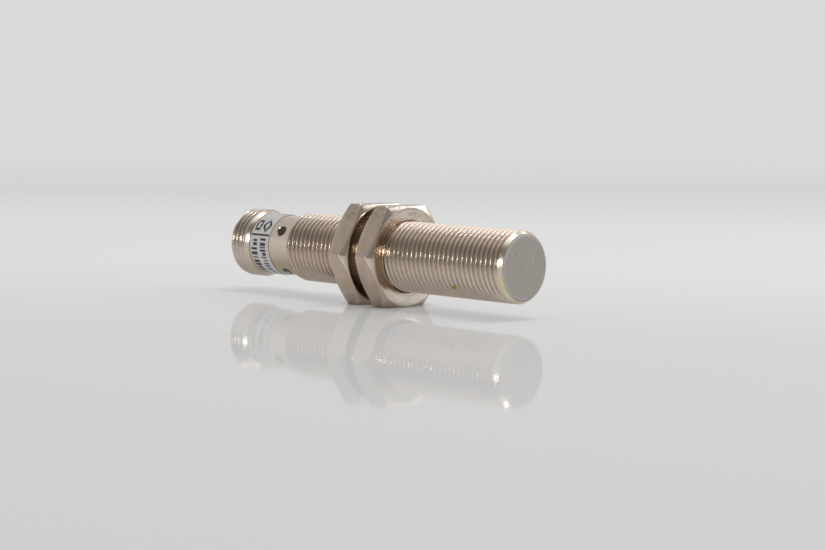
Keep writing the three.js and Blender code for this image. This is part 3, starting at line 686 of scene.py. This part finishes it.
def build_label():
    """Foil wrapped round the waist, open at its seam."""
    start = LABEL_SEAM + LABEL_GAP / 2
    grids = wrapped_slab(
        label_low[0],
        label_high[0],
        start,
        start + TURN - LABEL_GAP,
        LABEL_TOP - LABEL_THICKNESS,
        LABEL_TOP,
        COLUMNS + 1,
    )
    make_piece("label_wrap", grids, label_foil, "barrel_assembly", "label_foil", ["label"])


def stroke(x_from, x_to, from_degrees, to_degrees):
    """One printed bar on the label."""
    bottom, top = LABEL_TOP - 0.01, LABEL_TOP + INK
    ends = math.radians(from_degrees), math.radians(to_degrees)
    columns = max(3, int(abs(to_degrees - from_degrees) / 3) + 2)
    return wrapped_slab(x_from, x_to, *ends, bottom, top, columns)


def outline_mark(points, width):
    """A closed printed outline through points (x, degrees), as bars of a given width."""
    middle = np.mean(points, axis=0)
    ring = np.array([*points, points[0]], float)
    scale = np.array([1, math.radians(1) * LABEL_TOP])
    away = (ring - middle) * scale
    length = np.linalg.norm(away, axis=1, keepdims=True)
    bands = [away * (1 + side * width / 2 / length) / scale + middle for side in (-1, 1)]
    rows = [(bands[0], -0.01), (bands[1], -0.01), (bands[1], INK), (bands[0], INK), (bands[0], -0.01)]
    return [np.stack([
        around(band[:, 0], LABEL_TOP + lift, np.radians(band[:, 1])) for band, lift in rows
    ])]


def build_label_print():
    """Plain printed marks: a dividing line, a square, a diamond, rows of bars of three widths, and
    three long rules on the back."""
    chance = np.random.default_rng(12)
    grids = stroke(label_low[0] + 0.15, label_high[0] - 0.1, *RULE_ANGLES)
    side = np.linspace(0, 1, 7)[:-1, None]
    for tips in (np.array(SQUARE), np.array(DIAMOND)):
        points = np.concatenate([a + (b - a) * side for a, b in zip(tips[:-1], tips[1:])])
        grids += outline_mark(points, 0.48)
    for front, rear, first, last in BAR_ROWS:
        angle = first
        while angle < last:
            width = float(chance.choice(BAR_WIDTHS))
            inset = float(chance.choice(BAR_INSETS))
            grids += stroke(rear + inset, front, angle, angle + width)
            angle += width + float(chance.choice(BAR_GAPS))
    for row in range(3):
        x = BACK_RULE_X - 1.2 * row
        grids += stroke(x - 0.35, x, 10, 100 - 14 * row)
    make_piece("label_print", grids, label_ink, "barrel_assembly", "label_foil")


# ---- Connector ----

CUP_DEPTH = 6.6  # from the connector's rim to the floor between the pins
KEY_HEIGHT = 0.6
PIN_OFFSET = 2.5 * math.sqrt(0.5)  # sideways and upwards, from a pin circle of 2.5 mm radius


def build_contact_insert():
    """The black carrier: a keyed cup with a floor, and its base inside the tube."""
    rear, front = insert_low[0], insert_high[0]
    outer, inner = insert_high[2], insert_high[2] - 0.5
    floor = REAR_X + CUP_DEPTH
    angles = np.radians(np.concatenate([
        np.linspace(-270, 70, 86), np.linspace(80, 84, 4), np.linspace(85, 90, 5),
    ]))
    from_top = np.degrees((angles - math.pi / 2 + math.pi) % TURN - math.pi)
    key = np.clip((7.0 - np.abs(from_top)) / 1.2, 0, 1) * KEY_HEIGHT
    profile = np.concatenate([
        [[front, 0], [front, outer], [rear + 0.12, outer]],
        corner_arc(rear + 0.12, outer - 0.12, 0.12, 90, 180, 4)[1:],
        corner_arc(rear + 0.12, inner + 0.12, 0.12, 180, 270, 4),
    ])
    shell = revolve(profile, angles)
    keyed_x = np.array([rear + 0.6, rear + 0.6, rear + 0.75, floor - 0.1, floor])
    depth = np.array([0, 0.7, 1, 1, 1])[:, None] * key[None, :]
    cup = around(keyed_x[:, None], inner - depth, angles[None, :])
    bridge = np.stack([shell[-1], cup[0]])
    bottom = np.stack([cup[-1], revolve([[floor, inner - 1.2]], angles)[0]])
    step = revolve([[floor, inner - 1.2], [floor - 0.15, inner - 1.35], [floor - 0.15, 0]], angles)
    make_piece(
        "keyed_insert",
        [shell, bridge, cup, bottom, step],
        black_moulding,
        "barrel_assembly",
        "black_plastic",
        ["contact_insert"],
    )


def build_pins():
    """Each contact: a round pin with a domed tip, whose hidden tail is a stepped rod."""
    turn = np.linspace(0, TURN, 33)
    for k in range(1, 5):
        low, high = span(f"contact_pin_{k}")
        side_y = math.copysign(PIN_OFFSET, low[1] + high[1])
        side_z = math.copysign(PIN_OFFSET, low[2] + high[2])
        tip = low[0]
        profile = np.concatenate([
            [[tip, 0]],
            corner_arc(tip + 0.3, 0.2, 0.3, 180, 90, 7),
            [[insert_high[0] - 0.4, 0.5], [insert_high[0] - 0.4, 0.3], [high[0] - 0.9, 0.28]],
            [[high[0] - 0.9, 0]],
        ])
        pin = revolve(profile, turn) + [0, side_y, side_z]
        make_piece(
            f"gold_pin_{k}",
            [pin],
            gold_plate,
            "barrel_assembly",
            "gold_contact",
            [f"contact_pin_{k}"],
        )


# ---- Lock nuts ----

NUT_CHAMFER = 8.25  # radius at which the cone leaves the flat face
NUT_BORE = CREST_RADIUS + 0.1
NUT_GROOVE = 0.28  # depth of the grooves in the bore
NUT_STEPS = 16  # half turns of groove and ridge in the bore
NUT_SINK = 0.16  # countersink at both ends of the bore
NUT_CORNER = 0.35  # radius of a corner between two flats
# bright edges on the nuts: partly wear, partly a painted highlight
EDGE_WEAR_AND_HIGHLIGHT = 0.8


def nut_columns(flat):
    """Angles round a nut, and its outline's radius there: six flats with rounded corners.

    On a flat the radius is half the size across flats over the cosine of the angle from the
    flat's middle. On a corner it is the distance to a circle that touches both flats.
    """
    centre = (flat - NUT_CORNER) / math.cos(math.pi / 6)
    touch = math.degrees(math.atan((flat - NUT_CORNER) * math.tan(math.pi / 6) / flat))
    sector = np.concatenate([
        np.linspace(-30, -touch, 5)[:-1], np.linspace(-touch, touch, 19), np.linspace(touch, 30, 5)[1:-1],
    ])
    from_flat = np.concatenate([sector] * 6 + [[-30]])
    degrees = np.concatenate([sector + 90 + 60 * k for k in range(6)] + [[60 + 360]])
    from_corner = np.radians(30 - np.abs(from_flat))
    inside = np.maximum(NUT_CORNER**2 - (centre * np.sin(from_corner)) ** 2, 0)
    corner = centre * np.cos(from_corner) + np.sqrt(inside)
    on_flat = np.abs(from_flat) <= touch
    return np.radians(degrees), np.where(on_flat, flat / np.cos(np.radians(from_flat)), corner)


def build_nut(node, name):
    """A hexagon nut: flats, rounded corners, a 30 degree cone on both faces, threaded bore.

    The cone meets the outline at a depth that grows with the outline's radius, which draws the
    curved edge of each flat.
    """
    low, high = span(node)
    front, thickness, flat = high[0], high[0] - low[0], high[2]
    angles, hexagon = nut_columns(flat)
    depth = (hexagon - NUT_CHAMFER) * math.tan(math.radians(30))
    sink = NUT_BORE + NUT_SINK
    rings = np.ones_like(hexagon)
    bore = []
    for i in range(NUT_STEPS + 1):
        x = NUT_SINK + (thickness - 2 * NUT_SINK) * (1 - i / NUT_STEPS)
        bore.append((x * rings, (NUT_BORE + NUT_GROOVE * (i % 2)) * rings))
    face = [(0.02, sink - 0.02), (0.0, sink + 0.03), (0.0, 7.0), (0.0, 7.7), (0.0, NUT_CHAMFER - 0.05)]
    half = [(x * rings, radius * rings) for x, radius in (*face, (0.02, NUT_CHAMFER + 0.05))]
    half.append((depth - 0.035, hexagon - 0.06))
    half.append((depth + 0.015, hexagon - 0.018))
    half.append((depth + 0.07, hexagon))
    mirrored = [(thickness - x, radius) for x, radius in reversed(half)]
    rows = [*bore, *half, *mirrored, (thickness - NUT_SINK + 0 * rings, NUT_BORE * rings)]
    x = np.array([front - row[0] for row in rows])
    radius = np.array([row[1] for row in rows])
    grid = around(x, radius, angles[None, :])
    # Wear and painted highlight: on the front cone's outer edge, and over the whole of the rear cone
    cone = len(bore) + len(face)
    wear_and_highlight = np.zeros(grid.shape[:2])
    wear_and_highlight[cone + 1:cone + 3] = EDGE_WEAR_AND_HIGHLIGHT
    wear_and_highlight[cone + 6:cone + 8] = EDGE_WEAR_AND_HIGHLIGHT
    make_piece(name, [grid], nickel_nut, node, "nickel_brass", [node], marks=[wear_and_highlight], sharp=50)


# ---- Pieces inside the tube ----


def finish_inner_pieces():
    """Materials for the pieces that keep the shape of their CAD nodes."""
    for entry in frame["record"]["subparts"]:
        if entry["material_slot"] in slot_materials:
            shown = frame["nodes"][entry["node"]]
            shown.data.materials.clear()
            shown.data.materials.append(slot_materials[entry["material_slot"]])


# ---- Studio ----

CAMERA_AZIMUTH = math.radians(42.6)
CAMERA_ELEVATION = math.radians(5.0)
CAMERA_ROLL = math.radians(1.49)
CAMERA_DISTANCE = 0.358
CAMERA_AIM = Vector((-0.02726, 0.00305, -0.0034))
CAMERA_LENS = 92.1

TABLE_HEIGHT = span("front_nut")[0][2] * MM
TABLE_END = 0.42  # from the sensor to the far edge of the table
BACKDROP_TURN = math.radians(29)  # the table's far edge runs away from the camera to the right
BACKDROP_TONE = 0.695
TABLE_LIGHT = (0.885, 0.885, 0.885)
TABLE_DARK = (0.865, 0.865, 0.865)
TABLE_NEAR_SHADE = (0.745, 0.745, 0.745)  # painted shade on the camera's side of the sensor
# painted shade towards the backdrop
TABLE_FAR_SHADE = (0.3, 0.3, 0.3)
TABLE_PAINTED_GLOW = 0.38  # share of the table's light that is painted light, a glow of the table's own
PAINTED_GLOW_STRENGTH = 0.92
CONTACT_SHADOW_REACH = 0.0022  # metres; nearer than this to the sensor the painted glow is hidden, a painted contact shadow
ROOM_AHEAD = (0.68, 0.68, 0.68)
ROOM_ASIDE = (0.46, 0.455, 0.45)
ROOM_BEHIND = (0.24, 0.225, 0.205)
ROOM_HIGH_BEHIND = (0.1, 0.09, 0.075)
ROOM_ABOVE = (1.15, 1.15, 1.15)
TABLE_HALF_WIDTH = 1.6
TABLE_DEPTH = 2.4
BACKDROP_HEIGHT = 0.9


def camera_axes():
    """Right, up and forward of the camera, as directions in the sensor's own frame."""
    a, e, roll = CAMERA_AZIMUTH, CAMERA_ELEVATION, CAMERA_ROLL
    forward = Vector((-math.sin(a) * math.cos(e), math.cos(a) * math.cos(e), -math.sin(e)))
    level = forward.cross(Vector((0, 0, 1))).normalized()
    above = level.cross(forward)
    right = math.cos(roll) * level + math.sin(roll) * above
    up = -math.sin(roll) * level + math.cos(roll) * above
    return right, up, forward


def level_axes():
    """Horizontal directions ahead of the camera and to its right."""
    forward = camera_axes()[2]
    ahead = Vector((forward.x, forward.y, 0)).normalized()
    return ahead, ahead.cross(Vector((0, 0, 1)))


def build_camera():
    """The camera of a low three-quarter view of the sensing face."""
    right, up, forward = camera_axes()
    data = bpy.data.cameras.new("camera")
    data.lens = CAMERA_LENS
    data.clip_start, data.clip_end = 0.01, 20
    camera = bpy.data.objects.new("camera", data)
    bpy.context.scene.collection.objects.link(camera)
    turn = Matrix((right, up, -forward)).transposed().to_4x4()
    camera.matrix_world = Matrix.Translation(CAMERA_AIM - forward * CAMERA_DISTANCE) @ turn
    bpy.context.scene.camera = camera


def stage_sheet(name, corners, material):
    """A flat sheet of the studio, given by its corners in metres."""
    mesh = bpy.data.meshes.new(name)
    mesh.from_pydata([tuple(corner) for corner in corners], [], [tuple(range(len(corners)))])
    mesh.materials.append(material)
    sheet = bpy.data.objects.new(name, mesh)
    bpy.context.scene.collection.objects.link(sheet)
    return sheet


def distance_ahead(tree):
    """How far a point lies from the sensor towards the backdrop, in metres."""
    ahead, _ = level_axes()
    coordinates = add(tree, "ShaderNodeTexCoord").outputs["Object"]
    inputs = {0: coordinates, 1: tuple(ahead)}
    return add(tree, "ShaderNodeVectorMath", inputs, operation="DOT_PRODUCT").outputs["Value"]


def table_top():
    """Smooth white table: a matt body under a thin gloss, and a glow of its own that is painted light.

    Painted shade darkens it near the camera and towards the backdrop. The glow fades close to the
    sensor, which paints a contact shadow.
    """
    material, tree, shader = new_material("table_top")
    tree.nodes.remove(shader)
    output = tree.nodes["Material Output"]
    cloud = noise(tree, place(tree, (0.004, 0.004, 0.004)), 1.0, 2.0)
    colour = mix_colour(tree, cloud, TABLE_LIGHT, TABLE_DARK)
    # Painted shade: darker near the camera
    near = remap(tree, distance_ahead(tree), 0.1, -0.03)
    colour = mix_colour(tree, near, colour, TABLE_NEAR_SHADE)
    # Painted shade: darker towards the backdrop
    far = remap(tree, distance_ahead(tree), 0.24, 0.36, 0.0, 0.16)
    colour = mix_colour(tree, far, colour, TABLE_FAR_SHADE)
    diffuse = add(tree, "ShaderNodeBsdfDiffuse", {"Color": colour})
    # The glow is painted light; hidden near the sensor, it leaves a painted contact shadow
    open_above = add(tree, "ShaderNodeAmbientOcclusion", {"Distance": CONTACT_SHADOW_REACH}).outputs["AO"]
    strength = calculate(tree, "MULTIPLY", open_above, PAINTED_GLOW_STRENGTH)
    glow = add(tree, "ShaderNodeEmission", {"Color": colour, "Strength": strength})
    lit = add(tree, "ShaderNodeMixShader", {0: TABLE_PAINTED_GLOW, 1: diffuse.outputs[0], 2: glow.outputs[0]})
    gloss = add(tree, "ShaderNodeBsdfGlossy", {"Color": (1, 1, 1, 1), "Roughness": 0.045})
    share = add(tree, "ShaderNodeFresnel", {"IOR": 1.07})
    both = add(tree, "ShaderNodeMixShader", {0: share.outputs[0], 1: lit.outputs[0], 2: gloss.outputs[0]})
    tree.links.new(both.outputs[0], output.inputs["Surface"])
    return material


def backdrop_paper():
    """Paper that gives off its own light, darkened by painted shade a little where it meets the
    table, and more higher up.
    """
    material, tree, shader = new_material("backdrop_paper")
    tree.nodes.remove(shader)
    height = add(tree, "ShaderNodeSeparateXYZ", {"Vector": place(tree)}).outputs["Z"]
    foot = TABLE_HEIGHT / MM
    # Painted shade: darker at the foot of the paper and higher up
    tone = remap(tree, height, foot, foot + 11, BACKDROP_TONE * 0.93, BACKDROP_TONE)
    tone = calculate(tree, "MULTIPLY", tone, remap(tree, height, 120, 280, 1.0, 0.72))
    light = add(tree, "ShaderNodeEmission", {"Color": (1, 1, 1, 1), "Strength": tone})
    tree.links.new(light.outputs[0], tree.nodes["Material Output"].inputs["Surface"])
    return material


def build_table_and_backdrop():
    """The table's far edge and the foot of the backdrop are one line."""
    ahead, aside = level_axes()
    along = aside * math.cos(BACKDROP_TURN) + ahead * math.sin(BACKDROP_TURN)
    inwards = along.cross(Vector((0, 0, 1)))
    middle = CAMERA_AIM + ahead * TABLE_END
    middle.z = TABLE_HEIGHT
    left, right = middle - along * TABLE_HALF_WIDTH, middle + along * TABLE_HALF_WIDTH
    near = inwards * TABLE_DEPTH
    table = stage_sheet("table", [left, left + near, right + near, right], table_top())
    rise = Vector((0, 0, BACKDROP_HEIGHT))
    stage_sheet("backdrop", [left, right, right + rise, left + rise], backdrop_paper())
    return table


def area_light(name, azimuth, elevation, distance, size, radiance):
    """A white soft box, seen from the sensor at degrees right of the view and degrees up."""
    ahead, aside = level_axes()
    a, e = math.radians(azimuth), math.radians(elevation)
    away = (ahead * math.cos(a) + aside * math.sin(a)) * math.cos(e) + Vector((0, 0, math.sin(e)))
    data = bpy.data.lights.new(name, "AREA")
    data.shape = "RECTANGLE"
    data.size, data.size_y = size
    data.energy = radiance * math.pi * size[0] * size[1]
    light = bpy.data.objects.new(name, data)
    bpy.context.scene.collection.objects.link(light)
    light.location = Vector((-0.03, 0, 0)) + away * distance
    light.rotation_mode = "QUATERNION"
    light.rotation_quaternion = away.to_track_quat("Z", "Y")
    light.visible_camera = False
    return light


def keep_off(light, sheet):
    """Keep a light, and so its mirror image, off one sheet of the studio."""
    shaded = bpy.data.collections.new("shaded")
    shaded.objects.link(sheet)
    shaded.collection_objects[0].light_linking.link_state = "EXCLUDE"
    light.light_linking.receiver_collection = shaded


def build_studio(table):
    """A pale room, dim and warm behind the camera, with three soft boxes: overhead, left and right.

    The left one shines on the sensor alone.
    """
    world = bpy.data.worlds.new("room")
    world.use_nodes = True
    tree = world.node_tree
    background = tree.nodes["Background"]
    direction = add(tree, "ShaderNodeTexCoord").outputs["Generated"]
    ahead, _ = level_axes()
    inputs = {0: direction, 1: tuple(ahead)}
    facing = add(tree, "ShaderNodeVectorMath", inputs, operation="DOT_PRODUCT").outputs["Value"]
    side = mix_colour(tree, remap(tree, facing, -0.75, -0.1), ROOM_BEHIND, ROOM_ASIDE)
    colour = mix_colour(tree, remap(tree, facing, -0.1, 0.8), side, ROOM_AHEAD)
    rise = add(tree, "ShaderNodeSeparateXYZ", {"Vector": direction}).outputs["Z"]
    behind = calculate(tree, "MULTIPLY", remap(tree, facing, -0.1, -0.5), remap(tree, rise, 0.25, 0.55))
    colour = mix_colour(tree, calculate(tree, "MULTIPLY", behind, 0.4), colour, ROOM_HIGH_BEHIND)
    colour = mix_colour(tree, remap(tree, rise, 0.82, 0.95), colour, ROOM_ABOVE)
    tree.links.new(colour, background.inputs["Color"])
    background.inputs["Strength"].default_value = 1.0
    bpy.context.scene.world = world

    area_light("overhead_box", azimuth=75, elevation=76, distance=0.6, size=(0.085, 0.085), radiance=26)
    left_box = area_light(
        "left_box", azimuth=-160, elevation=13, distance=0.8, size=(0.28, 0.085), radiance=24
    )
    keep_off(left_box, table)
    area_light("right_box", azimuth=64, elevation=32, distance=0.8, size=(0.75, 0.52), radiance=1.4)


build_camera()
build_barrel()
build_windows()
build_sensing_cap()
build_label()
build_label_print()
build_contact_insert()
build_pins()
build_nut("front_nut", "hexagon_nut_front")
build_nut("rear_nut", "hexagon_nut_rear")
finish_inner_pieces()
build_studio(build_table_and_backdrop())
bpy.context.scene.view_settings.view_transform = "Standard"
